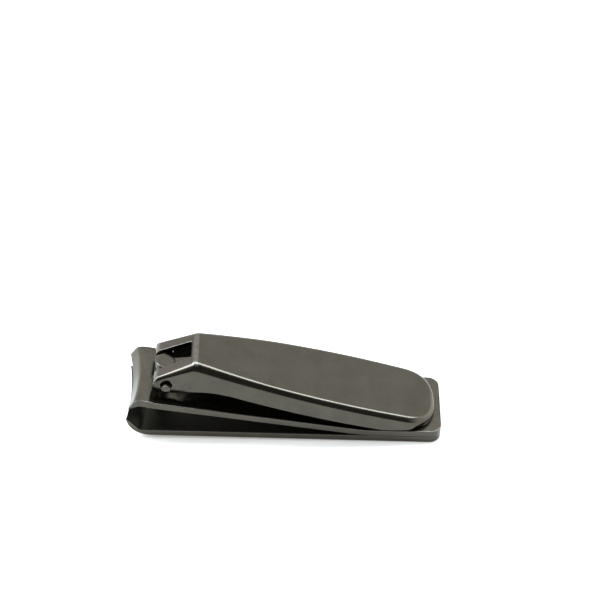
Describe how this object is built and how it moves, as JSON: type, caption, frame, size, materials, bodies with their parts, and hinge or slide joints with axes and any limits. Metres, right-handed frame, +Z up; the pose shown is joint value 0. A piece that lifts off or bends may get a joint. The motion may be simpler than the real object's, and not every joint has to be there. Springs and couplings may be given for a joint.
{
  "type": "nail clipper",
  "caption": "Fingernail clipper of dark steel with two sprung riveted leaves, hollow cutting edges, a turning post and a folded thumb lever.",
  "frame": {"origin": "centre of the footprint, on the surface the clipper rests on", "axes": "+X towards the riveted rear end, +Y to the side, +Z up; the jaws are at -X"},
  "size_m": [0.06, 0.015, 0.0172],
  "materials": {
    "leaf_steel": "black-blued steel, satin ground faces",
    "lever_steel": "black-blued steel, satin with faint stains",
    "pin_steel": "black-blued steel, smooth turned"
  },
  "bodies": {
    "leaves": {"lower_leaf": "leaf_steel", "upper_leaf_tail": "leaf_steel", "rear_rivets": "pin_steel"},
    "upper_jaw": {"upper_leaf": "leaf_steel"},
    "post": {"post": "pin_steel", "cross_pin": "pin_steel"},
    "lever": {"thumb_lever": "lever_steel"}
  },
  "joints": [
    {"name": "jaw_squeeze", "type": "hinge", "parent": "leaves", "child": "upper_jaw", "pos_m": [0.01527, 0, 0.00162], "axis": [0, -1, 0], "range_deg": [0, 3.4], "stiffness_Nm_per_rad": 1},
    {"name": "post_turn", "type": "hinge", "parent": "leaves", "child": "post", "pos_m": [-0.0228, 0, 0.01195], "axis": [0.1076, 0, 0.9942], "continuous": true},
    {"name": "lever_lift", "type": "hinge", "parent": "post", "child": "lever", "pos_m": [-0.02231, 0, 0.0119], "axis": [0, -1, 0], "range_deg": [0, 144]}
  ]
}
